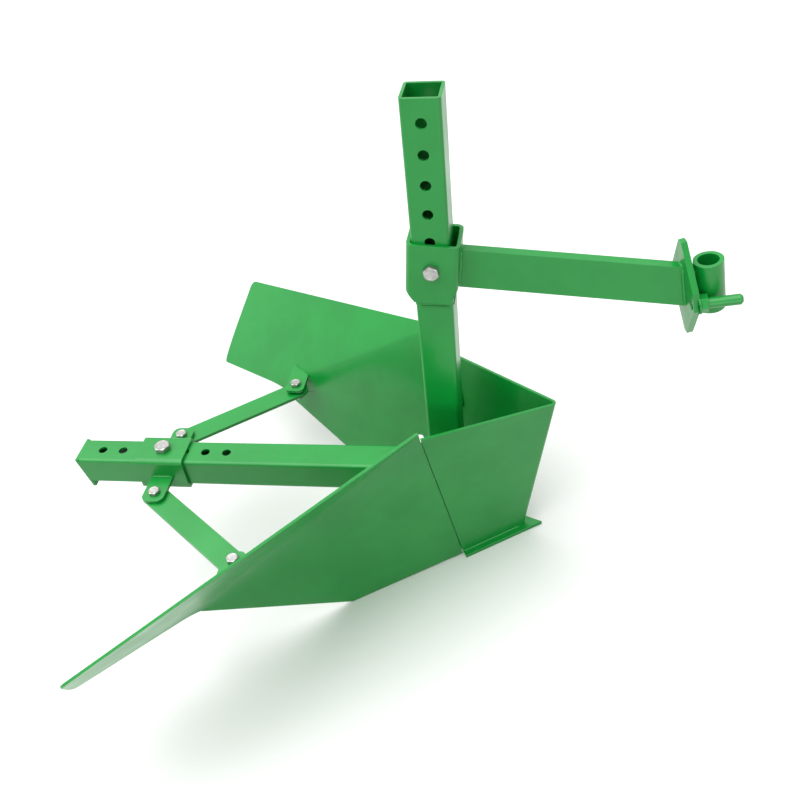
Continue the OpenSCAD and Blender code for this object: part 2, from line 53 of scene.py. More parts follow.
# %% Frames of the bars, the shank and the drawbar
RAKE = 8.0  # the bar's rise to the rear, in degrees to the ground
LEAN = 1.7  # the shank's lean from square to the bar
DROOP = 5.1  # the drawbar's fall from square to the shank
LIFT = 21.0  # the bar's zero line over the ground, in mm
BOLT_Z = 516.0  # the collar's bolt, along the shank
PLATE_X, PLATE_Z = 321.0, -7.0  # the hitch plate, from the collar's bolt

def pitched(points, angle):
    """Turn about Y, forward end down: x' = x cos a + z sin a, z' = z cos a - x sin a."""
    p = np.asarray(points, float)
    c, s = np.cos(np.radians(angle)), np.sin(np.radians(angle))
    return np.stack([p[..., 0] * c + p[..., 2] * s, p[..., 1], p[..., 2] * c - p[..., 0] * s], -1)

def bars(points):
    """From the rear bar's frame to the ground's."""
    return pitched(points, RAKE) + [0, 0, LIFT]

def shank(points):
    """From the shank's frame to the ground's."""
    return bars(pitched(points, LEAN))

def drawbar(points):
    """From the drawbar's frame, with its zero at the collar's bolt, to the ground's."""
    return shank(pitched(points, DROOP) + [0, 0, BOLT_Z])

HITCH = drawbar([PLATE_X, 0.0, PLATE_Z])

def hitch(points):
    """From the upright frame at the hitch plate to the ground's."""
    return np.asarray(points, float) + HITCH

def as_drawn(points):
    """The left side, which is the side that is drawn."""
    return np.asarray(points, float)

def unit(v):
    """v divided by its length."""
    v = np.asarray(v, float)
    return v / np.linalg.norm(v, axis=-1, keepdims=True)

def mirrored(points):
    """The same points on the other side of the middle plane."""
    return np.asarray(points, float) * [1, -1, 1]

print("hitch plate at", HITCH.round(1))

# %% [markdown]
# ## Camera
# The photograph looks down on the ridger from its right side, with the camera held at a slant.
# A camera fitted to the straight edges in the photograph gives its place, its aim and that slant.

# %% Camera of the photograph
camera_place = Vector((0.350613, -1.005693, 1.129203))
camera_aim = Vector((-0.021293, 0.0, 0.295486))
camera_slant = -18.538
sensor_mm, focal_px, photo_px = 36.0, 900.07, 800
camera_data = bpy.data.cameras.new("photo_camera")
camera_data.sensor_width = sensor_mm
camera_data.lens = sensor_mm * focal_px / photo_px
camera = bpy.data.objects.new("photo_camera", camera_data)
bpy.context.scene.collection.objects.link(camera)
camera.rotation_mode = "QUATERNION"
camera.location = camera_place
level = (camera_aim - camera_place).to_track_quat("-Z", "Y")
camera.rotation_quaternion = level @ Quaternion((0, 0, 1), np.radians(camera_slant))
bpy.context.scene.camera = camera
bpy.context.scene.view_settings.view_transform = "Standard"

# %% [markdown]
# ## Colour and node helpers
# Colours are written as sRGB hex, as a colour picker shows them, and one function turns them to
# the linear values that the shader works with. A second small function adds any node, sets its
# sockets and links it, so that each material below reads as a short list.

# %% Colour and node helpers
def linear(code, alpha=1.0):
    """sRGB hex to linear: v / 12.92 in the toe, ((v + 0.055) / 1.055) to the 2.4 above it."""
    v = np.array([int(code[i:i + 2], 16) / 255 for i in (1, 3, 5)])
    rgb = np.where(v <= 0.04045, v / 12.92, ((v + 0.055) / 1.055) ** 2.4)
    return (*rgb, alpha)

def add(tree, kind, settings=None, **sockets):
    """A node of any kind: settings are its properties, sockets its values or the links into it."""
    n = tree.nodes.new(kind)
    for key, value in (settings or {}).items():
        setattr(n, key, value)
    for key, value in sockets.items():
        name = key.replace("_", " ")
        socket = n.inputs[int(key[1:])] if key[1:].isdigit() else n.inputs[name]
        if isinstance(value, bpy.types.NodeSocket):
            tree.links.new(value, socket)
        else:
            socket.default_value = value
    return n

def new_material(name):
    m = bpy.data.materials.new(name)
    m.use_nodes = True
    m.node_tree.nodes.clear()
    return m, m.node_tree

# %% [markdown]
# ## Green enamel
# The ridger is sprayed with a gloss alkyd enamel over bare welded steel. Two things tell the
# eye that it is paint: the slow orange peel of the sprayed film, about 3 mm from crest to crest,
# and a faint cloudiness where the film is thicker. The edges are painted a lighter green, a
# painted highlight for the light that rounded edges catch. A real edge is never knife sharp, so
# the shader also rounds it by a millimetre.

# %% Green enamel
def sprayed_enamel(name, body_colour, cloud_colour, edge_highlight_colour, rough=0.34, round_mm=1.2):
    """Gloss alkyd enamel: clouds 90 mm wide, orange peel of 3.2 mm, grit of 1.1 mm, and a
    painted highlight: a lighter colour where the rounded normal leaves the flat one, which is at
    the edges."""
    m, t = new_material(name)
    place = add(t, "ShaderNodeTexCoord").outputs["Object"]
    cloud = add(t, "ShaderNodeTexNoise", Vector=place, Scale=1000 / 90, Detail=3.0, Roughness=0.55)
    peel = add(t, "ShaderNodeTexNoise", Vector=place, Scale=1000 / 3.2, Detail=1.5, Roughness=0.5)
    grit = add(t, "ShaderNodeTexNoise", Vector=place, Scale=1000 / 1.1, Detail=1.0)
    soft = add(t, "ShaderNodeBevel", {"samples": 4}, Radius=round_mm / 1000)
    flat = add(t, "ShaderNodeNewGeometry")
    same = add(t, "ShaderNodeVectorMath", {"operation": "DOT_PRODUCT"}, i0=soft.outputs[0],
        i1=flat.outputs["Normal"])
    # Painted highlight: this mask is 0 on flat faces and rises to 0.75 at the rounded edges, where
    # the lighter edge green is mixed in.
    edge = add(t, "ShaderNodeMapRange", i0=same.outputs["Value"], i1=0.985, i2=0.86, i3=0.0,
        i4=0.75)
    shade = add(t, "ShaderNodeMapRange", i0=cloud.outputs["Fac"], i1=0.36, i2=0.66)
    body = add(t, "ShaderNodeMix", {"data_type": "RGBA"}, i0=shade.outputs[0],
        i6=linear(body_colour), i7=linear(cloud_colour))
    # The enamel colour with the painted edge highlight mixed in.
    paint = add(t, "ShaderNodeMix", {"data_type": "RGBA"}, i0=edge.outputs[0],
        i6=body.outputs[2], i7=linear(edge_highlight_colour))
    gloss = add(t, "ShaderNodeMapRange", i0=cloud.outputs["Fac"], i1=0.3, i2=0.7, i3=rough - 0.05,
        i4=rough + 0.07)
    fine = add(t, "ShaderNodeBump", Strength=0.10, Distance=0.0002, Height=grit.outputs["Fac"],
        Normal=soft.outputs[0])
    skin = add(t, "ShaderNodeBump", Strength=0.20, Distance=0.0004, Height=peel.outputs["Fac"],
        Normal=fine.outputs[0])
    p = add(t, "ShaderNodeBsdfPrincipled", Base_Color=paint.outputs[2], Roughness=gloss.outputs[0],
        Normal=skin.outputs[0], IOR=1.5)
    p.inputs["Coat Weight"].default_value = 0.12
    p.inputs["Coat Roughness"].default_value = 0.12
    add(t, "ShaderNodeOutputMaterial", Surface=p.outputs[0])
    return m

# The film on plate and tube, and the same enamel where it lies over a weld's ripples. The third
# colour of each is the painted highlight at the edges.
enamel = sprayed_enamel("green_gloss_enamel", "#059838", "#038D33", "#40BA60")
bead_enamel = sprayed_enamel("green_enamel_over_weld", "#06993A", "#048E34", "#40BA60", 0.30, 0.5)

# %% [markdown]
# ## Zinc plated steel
# The loose bolts were fitted after painting, so they are still bright: cold headed steel with a
# thin electroplated coat of zinc. It is a metal with a satin skin, a little cloudy, and its
# fine dents are a little under a millimetre wide.

# %% Zinc plated steel
def plated_zinc(name):
    """Bright zinc plate on cold headed steel, with clouds 7 mm wide and dents of 0.8 mm."""
    m, t = new_material(name)
    place = add(t, "ShaderNodeTexCoord").outputs["Object"]
    cloud = add(t, "ShaderNodeTexNoise", Vector=place, Scale=1000 / 7, Detail=4.0)
    dents = add(t, "ShaderNodeTexNoise", Vector=place, Scale=1000 / 0.8, Detail=2.0)
    tint = add(t, "ShaderNodeMapRange", i0=cloud.outputs["Fac"], i1=0.35, i2=0.65)
    skin = add(t, "ShaderNodeMix", {"data_type": "RGBA"}, i0=tint.outputs[0],
        i6=linear("#B2B1AE"), i7=linear("#989795"))
    gloss = add(t, "ShaderNodeMapRange", i0=cloud.outputs["Fac"], i1=0.3, i2=0.7, i3=0.30, i4=0.46)
    soft = add(t, "ShaderNodeBevel", {"samples": 4}, Radius=0.0004)
    bump = add(t, "ShaderNodeBump", Strength=0.25, Distance=0.0001, Height=dents.outputs["Fac"],
        Normal=soft.outputs[0])
    p = add(t, "ShaderNodeBsdfPrincipled", Base_Color=skin.outputs[2], Roughness=gloss.outputs[0],
        Normal=bump.outputs[0], Metallic=0.85)
    add(t, "ShaderNodeOutputMaterial", Surface=p.outputs[0])
    return m

zinc = plated_zinc("zinc_plated_steel")

# %% [markdown]
# ## Paint the solids that stay
# Tubes, plates, links and the hitch are already the right shape: square tube with rounded
# corners and drilled holes. They keep their CAD mesh, and only their paint is new. The stop
# bolts and their nuts sit on the hitch plate and were sprayed with it, so they are green too.

# %% Paint on the CAD solids
for name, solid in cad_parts.items():
    solid.data.materials.clear()
    fitted_late = any(word in name for word in ("bolt", "nut", "hinge_pin"))
    welded_on = name.startswith("stop")
    solid.data.materials.append(zinc if fitted_late and not welded_on else enamel)
print(len(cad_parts), "solids painted")

# %% [markdown]
# ## Surfaces from grids
# Every new piece is a grid of points worked out with numpy, in millimetres. One helper numbers
# the faces of a grid, one adds a fan of triangles at each end of a tube, and one turns all faces
# outward, as the skin of a solid has to be.

# %% Grid to mesh
def grid_faces(rows, columns, round_rows=False, round_columns=False):
    """Quads of a rows by columns grid, each corner numbered row * columns + column."""
    i = np.arange(rows if round_rows else rows - 1)[:, None]
    j = np.arange(columns if round_columns else columns - 1)[None, :]
    i2, j2 = (i + 1) % rows, (j + 1) % columns
    quads = [i * columns + j, i * columns + j2, i2 * columns + j2, i2 * columns + j]
    return np.stack(np.broadcast_arrays(*quads), -1).reshape(-1, 4)

def tube_faces(rows, columns, ring):
    """Quads round a tube. One that isn't a ring gets a fan to an end point at both ends."""
    quads = grid_faces(rows, columns, ring, True)[:, ::-1]
    if ring:
        return quads, np.zeros((0, 3), int)
    j = np.arange(columns)
    k = (j + 1) % columns
    last, end = (rows - 1) * columns, np.full(columns, rows * columns)
    return quads, np.concatenate([np.stack([j, k, end], -1),
        np.stack([last + k, last + j, end + 1], -1)])

def outward(points, quads, fans=np.zeros((0, 3), int)):
    """All faces with their front outside. The sum of a . (b x c) over a solid's triangles is six
    times its volume, so where the sum is negative every face is turned round."""
    t = np.concatenate([quads[:, [0, 1, 2]], quads[:, [0, 2, 3]], fans])
    a, b, c = (points[t[:, k]] for k in range(3))
    way = 1 if np.einsum("ij,ij->", a, np.cross(b, c)) > 0 else -1
    return quads[:, ::way].tolist() + fans[:, ::way].tolist()

def make_mesh(name, points_mm, faces, material, body, sharp, flat=0):
    """Puts points and faces into a mesh in metres, shades it smooth but for a number of flat faces
    at the end of the list, and lets it ride on a body."""
    mesh = bpy.data.meshes.new(name)
    mesh.from_pydata((np.asarray(points_mm, float) / 1000).tolist(), [], faces)
    mesh.validate()
    mesh.set_sharp_from_angle(angle=np.radians(sharp))
    mesh.polygons.foreach_set("use_smooth", np.arange(len(faces)) < len(faces) - flat)
    mesh.materials.append(material)
    piece = bpy.data.objects.new(name, mesh)
    bpy.context.scene.collection.objects.link(piece)
    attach(piece, body)
    return piece

def shell(name, outer, inner, body, replaces):
    """A sheet with thickness: the outer grid, the inner grid turned round, and a rim that joins
    their edges point by point."""
    rows, columns = outer.shape[:2]
    count = rows * columns
    skin = grid_faces(rows, columns)
    ring = np.concatenate([np.arange(columns), np.arange(1, rows) * columns + columns - 1,
        (rows - 1) * columns + np.arange(columns - 2, -1, -1),
        np.arange(rows - 2, 0, -1) * columns])
    after = np.roll(ring, -1)
    rim = np.stack([after, ring, ring + count, after + count], -1)
    faces = np.concatenate([skin, skin[:, ::-1] + count, rim])
    points = np.concatenate([outer.reshape(-1, 3), inner.reshape(-1, 3)])
    piece = make_mesh(name, points, outward(points, faces), enamel, body, 32.0)
    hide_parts(*replaces)

# %% [markdown]
# ## The folded nose
# The front of the body is one sheet of 4 mm steel, folded to a vee over a press brake. The fold
# has an outer radius of 7 mm. The sheet is a profile, arc then flat, carried along the nose
# line, and its rows end on the sole below and in the plane of the top edge above.

# %% Folded nose
SHEET = 4.0  # thickness of the sheet
SOLE = 6.0  # thickness of the sole plate, on which the panels stand
FOLD_R = 7.0  # outer radius of the fold
UP = np.array([0.0, 0.0, 1.0])
nose_foot, nose_top = np.array([126.0, 0, SOLE]), np.array([215.0, 0, 259.0])
panel_rear = np.array([29.0, 108.0, 308.0])

def plane_n(a, b, c):
    """Normal of the plane through three points, turned to the left side."""
    n = unit(np.cross(b - a, c - a))
    return n if n[1] > 0 else -n

def meet(p, d, o, n):
    """Where lines from p along d meet the plane through o with normal n."""
    p, d = np.asarray(p, float), np.asarray(d, float)
    return p + d * (((o - p) @ n) / (d @ n))[..., None]

def square_to(v, w):
    """The part of v that is square to the unit vector w, as a unit vector."""
    return unit(v - (v @ w) * w)

panel_n = plane_n(nose_foot, panel_rear, nose_top)
seam_foot = meet([21.0, 40, SOLE], [0.0, 1, 0], nose_foot, panel_n)
seam_dir = unit(panel_rear - seam_foot)
panel_back = square_to(unit(seam_foot - nose_foot), seam_dir)
nose_dir = unit(nose_top - nose_foot)
nose_n = unit(panel_n + mirrored(panel_n))
fold_cos = panel_n @ nose_n
fold_axis = nose_foot - nose_n * FOLD_R / fold_cos
top_n = unit(np.cross(panel_rear - nose_top, mirrored(panel_rear) - nose_top))

def panel_grid(depth, arc_steps=13, flat_steps=30, up_steps=24):
    """Left half of the folded sheet at a depth below its face: columns of the fold's arc and of
    the flat, each a straight line from the sole to the top edge's plane."""
    half = np.arccos(fold_cos)
    turn = np.linspace(0, half, arc_steps)[:, None]
    n = unit(np.sin(half - turn) * nose_n + np.sin(turn) * panel_n)
    start = fold_axis + (FOLD_R - depth) * n
    along = np.broadcast_to(nose_dir, start.shape)
    low, high = meet(start, along, SOLE * UP, UP), meet(start, along, nose_top, top_n)
    seam = seam_foot - depth * panel_n
    end_low, end_high = meet(seam, seam_dir, SOLE * UP, UP), meet(seam, seam_dir, nose_top, top_n)
    s = np.linspace(0, 1, flat_steps)[1:, None]
    low = np.concatenate([low, low[-1] * (1 - s) + end_low * s])
    high = np.concatenate([high, high[-1] * (1 - s) + end_high * s])
    w = np.linspace(0, 1, up_steps)[None, :, None]
    return low[:, None] * (1 - w) + high[:, None] * w

def both_halves(left):
    """The grid of the right half, turned end for end, and then the left half."""
    return np.concatenate([mirrored(left)[::-1], left[1:]])

shell("folded_nose_sheet", both_halves(panel_grid(0.0)), both_halves(panel_grid(SHEET)), "plough",
    ("vee_panel_right", "vee_panel_left"))
print("nose sheet reaches", panel_rear, "mm")

# %% [markdown]
# ## The mouldboards
# Each mouldboard is one plate too: a flat share that lies in line with the nose, a soft bend,
# and a flap that flares out and twists a little, as a plate does when it is pressed over a
# slanted die. In numbers it is a ruled surface: two paths, one along the front and top edge and
# one along the low edge, and a straight line between them for every step. The thickness is
# taken along the surface's own normal.

# %% Mouldboards
SEAM_GAP = 2.0  # open seam between the nose and the mouldboard
FLAP_FROM = 48.0  # where along the top edge the flap is straight
CORNER = 14.0  # radius of the two rear corners
FOOT_DROP, RAISE_FROM, RAISE_MID, HEAD_AT = 3.0, 225.0, 292.0, 336.0  # along the seam
RAISE_OUT, HEAD_OUT = 1.5, 13.0  # how far the top front corner stands out over the seam
BEND_UP, BEND_START, BEND_END = 6.0, 14.0, 34.0  # the low end of the bend
SHARE_PART, LAST_PART = 0.93, 0.965  # part of the share's front edge whose rows end on its foot
BOW, BOW_REACH = 3.0, 26  # how far the rear edge bows, in mm, and over how many of the last rows
heel, share_low = np.array([-157.0, 144, 0]), np.array([-333.0, 259, 139])
flap_top, flap_low = np.array([-410.4, 464, 261.5]), np.array([-498.6, 380.4, 130.2])
seam_line = seam_foot + SEAM_GAP * panel_back
wing_foot = seam_line - FOOT_DROP * seam_dir
wing_head = seam_line + HEAD_AT * seam_dir + HEAD_OUT * panel_n
wing_n = plane_n(wing_foot, heel, seam_line + 200 * seam_dir)
share_end = meet(share_low, np.array([0.0, 1, 0]), wing_foot, wing_n)
bend = share_end + BEND_UP * seam_dir
head_1 = seam_line + RAISE_FROM * seam_dir
head_mid = seam_line + RAISE_MID * seam_dir + RAISE_OUT * panel_n
bend_1, bend_2 = bend + BEND_START * unit(heel - bend), bend + BEND_END * unit(flap_low - bend)

def mix(a, b, s):
    """A share s of the way from a to b."""
    return a * (1 - s) + b * s

def curve(a, b, c, s):
    """Quadratic curve that leaves a towards b and arrives at c."""
    return (1 - s) ** 2 * a + 2 * s * (1 - s) * b + s ** 2 * c

def normals_of(grid):
    """Unit normal at every grid point: the cross product of the steps along the two ways."""
    return unit(np.cross(np.gradient(grid, axis=1), np.gradient(grid, axis=0)))

def board_grids(columns=64):
    """Outer and inner grid. Share rows run from the lower front corner up the seam, bend rows
    pass the head, and flap rows run back along the top edge. The last rows draw in from both
    sides by r - sqrt(r^2 - e^2), a quarter circle at each rear corner, and the rear edge bows
    back by BOW times 6.75 w^2 (1 - w), which is greatest two thirds of the way down."""
    s = np.append(np.linspace(0, SHARE_PART, 14), LAST_PART)[:, None]
    parts = [(mix(wing_foot, head_1, s),
        np.where(s < SHARE_PART, mix(heel, share_end, s / SHARE_PART),
            mix(share_end, bend_1, (s - SHARE_PART) / (1 - SHARE_PART))))]
    u = np.linspace(0, 1, 28)[:, None]
    long = np.linalg.norm(flap_top - wing_head)
    first = curve(head_1, head_mid, wing_head, np.minimum(u * 1.5, 1))
    after = mix(wing_head, flap_top, (3 * u - 2) * FLAP_FROM / long)
    parts.append((np.where(u < 0.6667, first, after), curve(bend_1, bend, bend_2, u)))
    d = np.linspace(FLAP_FROM, long, 40)[1:, None]
    parts.append((mix(wing_head, flap_top, d / long),
        mix(bend_2, flap_low, (d - FLAP_FROM) / (long - FLAP_FROM))))
    top, low = (np.concatenate(side) for side in zip(*parts))
    fine = np.linspace(0, 1, columns)[None, :, None]
    whole = mix(top[:, None], low[:, None], fine)
    n = normals_of(whole)
    n = np.where((n @ wing_n > 0)[..., None], n, -n)
    # Rounding rows: the same surface, looked up at places drawn in from its two edges
    last = len(s) + len(u) - 1
    d = np.concatenate([np.zeros(last), [FLAP_FROM], d[:, 0]])
    keep = d < long - CORNER
    turn = np.linspace(0, np.pi / 2, 11)
    at = np.interp(long - CORNER * (1 - np.sin(turn)), d[last:], np.arange(last, len(d)))
    at = np.concatenate([np.where(keep)[0], at])
    inset = np.concatenate([np.zeros(keep.sum()), CORNER * (1 - np.cos(turn))])
    a = np.floor(at).astype(int).clip(0, len(d) - 2)
    f = (at - a)[:, None]
    top_n, low_n = mix(n[a, 0], n[a + 1, 0], f), mix(n[a, -1], n[a + 1, -1], f)
    top, low = mix(top[a], top[a + 1], f), mix(low[a], low[a + 1], f)
    width = np.linalg.norm(low - top, axis=1)
    share = (inset / width)[:, None, None]
    w = share + fine * (1 - 2 * share)
    outer = mix(top[:, None], low[:, None], w)
    n = unit(mix(top_n[:, None], low_n[:, None], w))
    reach = np.clip((at - at[-1] + BOW_REACH) / BOW_REACH, 0, 1)[:, None, None]
    outer = outer + BOW * reach ** 2 * 6.75 * w ** 2 * (1 - w) * unit(flap_low - bend_2)
    return outer, outer - SHEET * n

board = board_grids()
shell("mouldboard_sheet_left", *board, "wing_left", ("mouldboard_left",))
shell("mouldboard_sheet_right", *map(mirrored, board), "wing_right", ("mouldboard_right",))
print("mouldboard is", round(float(np.linalg.norm(flap_low - wing_foot))), "mm long")

# %% [markdown]
# ## Hexagon bolts and nuts
# A bolt head is a hexagon cut by a cone, over a thin washer face. As a surface it is a radius
# over turn and height: the smaller of the hexagon's radius, half the flats over the cosine of
# the angle from the nearest flat, and the cone's. The shank ends in a thread whose radius is a
# saw tooth of height and turn together, which is what makes it a helix.

# %% Turned and hexagonal surfaces
def axes_of(direction):
    """Two unit vectors square to a direction and to each other, and the direction itself."""
    w = unit(direction)
    u = square_to(np.array([0.0, 1, 0]) if abs(w[1]) < 0.9 else np.array([1.0, 0, 0]), w)
    return u, np.cross(w, u), w

def turned(name, place, direction, heights, radii, body, ring=False, sharp=30.0):
    """Rows of radius over turn, stacked at given heights along the axis. A ring's last row meets
    its first, and any other shape gets a point at each end."""
    u, v, w = axes_of(direction)
    rows, columns = radii.shape
    turn = np.arange(columns) * 2 * np.pi / columns
    circle = np.cos(turn)[:, None] * u + np.sin(turn)[:, None] * v
    h = np.asarray(heights, float)
    points = (place + radii[..., None] * circle + h[:, None, None] * w).reshape(-1, 3)
    if not ring:
        points = np.concatenate([points, [place + h[0] * w, place + h[-1] * w]])
    quads, fans = tube_faces(rows, columns, ring)
    faces = outward(points, quads, fans)
    return make_mesh(name, points, faces, zinc, body, sharp, len(fans))

COLUMNS = 96
TURN = np.arange(COLUMNS) * 2 * np.pi / COLUMNS

def hexagon(flats):
    """Radius of a hexagon over the turn: half the flats / cos(angle from the nearest flat)."""
    near = (TURN + np.pi / 6) % (np.pi / 3) - np.pi / 6
    return flats / 2 / np.cos(near)

def head_profile(flats, height, both=False):
    """Heights and radii of a bolt head, or of a nut with a chamfer on both faces."""
    tall = height - 0.6
    z = np.concatenate([[0.0, 0.0, 0.6], 0.6 + tall * np.linspace(0.02, 1.0, 16)])
    if both:
        z = height * np.linspace(0, 1, 19)
    cone = flats * 0.478 + (height - z) * 1.9
    if both:
        cone = np.minimum(cone, flats * 0.478 + z * 1.9)
    r = np.minimum(hexagon(flats)[None, :], cone[:, None])
    if not both:
        r[:3] = flats * np.array([0.3, 0.47, 0.47])[:, None]
    return z, r

def thread_rows(length, radius, pitch, cut=0.75, step=0.25):
    """Radius of a threaded rod: radius less cut times a triangle wave of height / pitch + turn,
    and 0.9 mm less at the tip, over a taper of 1.2 mm."""
    z = np.arange(0, length + step / 2, step)
    phase = (z[:, None] / pitch + TURN[None, :] / (2 * np.pi)) % 1
    taper = np.clip((length - z) / 1.2, 0, 1)[:, None]
    r = radius - cut * np.abs(2 * phase - 1) - 0.9 * (1 - taper)
    return z, r

def hex_head(name, place, direction, flats, height, body):
    """A bolt head with a shallow dish, 0.25 mm deep, in its top."""
    z, r = head_profile(flats, height)
    z = np.concatenate([z, [height, height - 0.25]])
    dish = flats * np.array([0.40, 0.36])[:, None] * np.ones(COLUMNS)
    return turned(name, place, direction, z, np.concatenate([r, dish]), body)

def hex_nut(name, place, direction, flats, height, bore, body):
    """A nut: the hexagon outside, and a round bore with a lead in of 0.7 mm at both ends."""
    z, r = head_profile(flats, height, True)
    z = np.concatenate([z, [height, height - 0.7, 0.7, 0.0]])
    hole = (bore + np.array([0.7, 0, 0, 0.7]))[:, None] * np.ones(COLUMNS)
    return turned(name, place, direction, z, np.concatenate([r, hole]), body, ring=True)

def rod(name, place, direction, length, radius, pitch, body):
    """A threaded rod with a tapered tip."""
    z, r = thread_rows(length, radius, pitch)
    return turned(name, place, direction, z, r, body, sharp=60.0)

# %% [markdown]
# ## The fitted bolts
# Each bolt is put where the CAD has it: the collar's bolt through the shank, the sleeve's bolt
# through the bar, and the four pivot bolts of the links. The two bolts that lock a slide end a
# little inside the wall, so that the slide can move, and their nuts have an end of their own.

# %% Bolts and nuts in place
# Flats, head height, nut height, rod radius, pitch and the nut's bore radius
PIVOT_SIZE = (17, 6.4, 8, 5.0, 1.5, 4.6)
COLLAR_SIZE = (19, 7.5, 10, 6.0, 1.75, 5.6)
SLEEVE_SIZE = (24, 9, 12, 7.0, 2.0, 6.6)
COLLAR_OUT = 30.6  # outer face of the collar, from the middle plane
SLEEVE_X, BAR_MID, SLEEVE_OUT = -477.0, 124.0, 31.6  # the sleeve's bolt, and its outer face
LUG_Y, LUG_TOP, LUG_LOW = 68.7, 122.0, 109.4  # the lug's bolt, under its head and over its nut
WING_X, WING_Y = -300.0, 203.5  # the bracket's bolt
LINK_Z, LINK_T, PLAY = 109.7, 6.0, 4.7  # underside and thickness of the link, play over it
side, up_bars = np.array([0.0, 1.0, 0.0]), bars([0, 0, 1.0]) - bars([0, 0, 0.0])

def fitted(node, tag, size, seat, out, body, rod_name="", start=0.0, way=1, length=0.0):
    """A head or a nut on its seat, which stands for the CAD node. Its rod starts at a distance
    out from the seat, runs out (way 1) or in (way -1), and only rides along."""
    flats, head_tall, nut_tall, radius, pitch, bore = size
    if node.endswith("nut"):
        piece = hex_nut(node + "_body" + tag, seat, out, flats, nut_tall, bore, body)
    else:
        piece = hex_head(node + "_head" + tag, seat, out, flats, head_tall, body)
    if rod_name:
        rod(rod_name + tag, seat + start * out, way * out, length, radius, pitch, body)
    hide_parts(node + tag)

fitted("collar_bolt", "", COLLAR_SIZE, drawbar([0, -COLLAR_OUT, 0]), -side, "drawbar_head",
    "collar_bolt_stub", 0.6, -1, 5.9)
fitted("collar_nut", "", COLLAR_SIZE, drawbar([0, COLLAR_OUT, 0]), side, "drawbar_head",
    "collar_bolt_end", -5.3, 1, 18.9)
fitted("sleeve_bolt", "", SLEEVE_SIZE, bars([SLEEVE_X, 0, BAR_MID + SLEEVE_OUT]), up_bars, "sleeve",
    "sleeve_bolt_stub", -5.3, 1, 6.0)
fitted("sleeve_nut", "", SLEEVE_SIZE, bars([SLEEVE_X, 0, BAR_MID - SLEEVE_OUT]), -up_bars, "sleeve",
    "sleeve_bolt_end", -5.3, 1, 20.9)
for tag, place in (("_left", as_drawn), ("_right", mirrored)):
    lug, wing = place(bars([SLEEVE_X, LUG_Y, 0])), place(bars([WING_X, WING_Y, 0]))
    fitted("lug_bolt", tag, PIVOT_SIZE, lug + up_bars * LUG_TOP, up_bars, "sleeve",
        "lug_bolt_rod", 0.4, -1, 23.6)
    fitted("lug_nut", tag, PIVOT_SIZE, lug + up_bars * LUG_LOW, -up_bars, "sleeve")
    fitted("bracket_bolt", tag, PIVOT_SIZE, wing + up_bars * (LINK_Z + 2 * LINK_T + PLAY), up_bars,
        "wing" + tag, "bracket_bolt_rod", 0.4, -1, 32.4)
    fitted("bracket_nut", tag, PIVOT_SIZE, wing + up_bars * (LINK_Z - PLAY), -up_bars, "wing" + tag)
print("12 bolts and nuts fitted")

# %% [markdown]
# ## Weld beads
# Nearly every joint of a ridger is a fillet weld laid by hand. A bead is a round cord of metal
# in the corner, and its ripples are the puddle freezing every few millimetres. So the bead is a
# tube along the corner, with a radius that swells and falls about every 3.5 mm, and both ends
# close down to a point.

# %% Weld bead
RIPPLE = 3.5  # mm from one ripple to the next
STEP = 0.7  # mm from one ring of the tube to the next

def bead(name, corners, radius, body, closed=False, columns=12):
    """A tube along a path through the corners: radius times (0.95 + 0.10 times the half sine of
    the length / RIPPLE), a slow wander of 6 %, and a square root taper over the first and last
    4 mm. A closed one runs round to its start."""
    corners = np.asarray(corners, float)
    if closed:
        corners = np.concatenate([corners, corners[:1]])
    length = np.concatenate([[0], np.cumsum(np.linalg.norm(np.diff(corners, axis=0), axis=1))])
    s = np.linspace(0, length[-1], max(12, int(length[-1] / STEP)))
    path = np.stack([np.interp(s, length, corners[:, k]) for k in range(3)], -1)
    ahead = unit(np.gradient(path, axis=0))
    across = np.where(np.abs(ahead[:, 2:]) < 0.9, [[0.0, 0, 1]], [[1.0, 0, 0]])
    u = unit(np.cross(ahead, across))
    v = np.cross(ahead, u)
    wave, wander = np.sin(np.pi * ((s / RIPPLE) % 1)), np.sin(s / 17.0 + len(name))
    size = radius * (1 + 0.10 * wave - 0.05 + 0.06 * wander)
    if not closed:
        size = size * np.sqrt(np.clip(np.minimum(s, s[-1] - s) / 4.0, 0.02, 1))
    turn = np.arange(columns) * 2 * np.pi / columns
    circle = np.cos(turn)[:, None] * u[:, None] + np.sin(turn)[:, None] * v[:, None]
    points = path[:, None] + size[:, None, None] * circle
    if closed:
        points = points[:-1]
    rows, points = len(points), points.reshape(-1, 3)
    if not closed:
        points = np.concatenate([points, path[[0, -1]]])
    faces = outward(points, *tube_faces(rows, columns, closed))
    make_mesh(name, points, faces, bead_enamel, body, 60.0)

# %% [markdown]
# ## Beads on the drawbar and the hitch
# The flat drawbar is welded to the collar down both sides and over its top, and to the hitch
# plate in the same way. The plate is turned a little, so a bead on its face stands further
# forward on the right side than on the left. The stop bolts' nuts have a bead all round.

# %% Beads on the drawbar and the hitch
COLLAR_FRONT = 35.5  # the collar's front face, from the shank's middle
BAR_SIDE, BAR_LOW, BAR_TOP = 7.2, -35.0, 21.0  # the drawbar's side, underside and top
PLATE_TURN, PLATE_FRONT = 14.0, 8.25  # the plate's turn, and its front face in the middle
WEB_SIDE, WEB_LOW, WEB_TOP, SOCKET_BACK = 6.2, -29.0, 24.0, 15.2
STOP_Y, STOP_Z, NUT_RING = 30.0, -13.0, 11.7
lean_back = -np.tan(np.radians(PLATE_TURN))
for tag, y in (("right", -BAR_SIDE), ("left", BAR_SIDE)):
    bead("weld_drawbar_collar_" + tag,
        drawbar([[COLLAR_FRONT, y, BAR_LOW], [COLLAR_FRONT, y, BAR_TOP]]), 2.6, "drawbar_head")
over = BAR_TOP + 0.7
bead("weld_drawbar_collar_top", drawbar([[COLLAR_FRONT, -7, over], [COLLAR_FRONT, 7, over]]), 2.6,
    "drawbar_head")
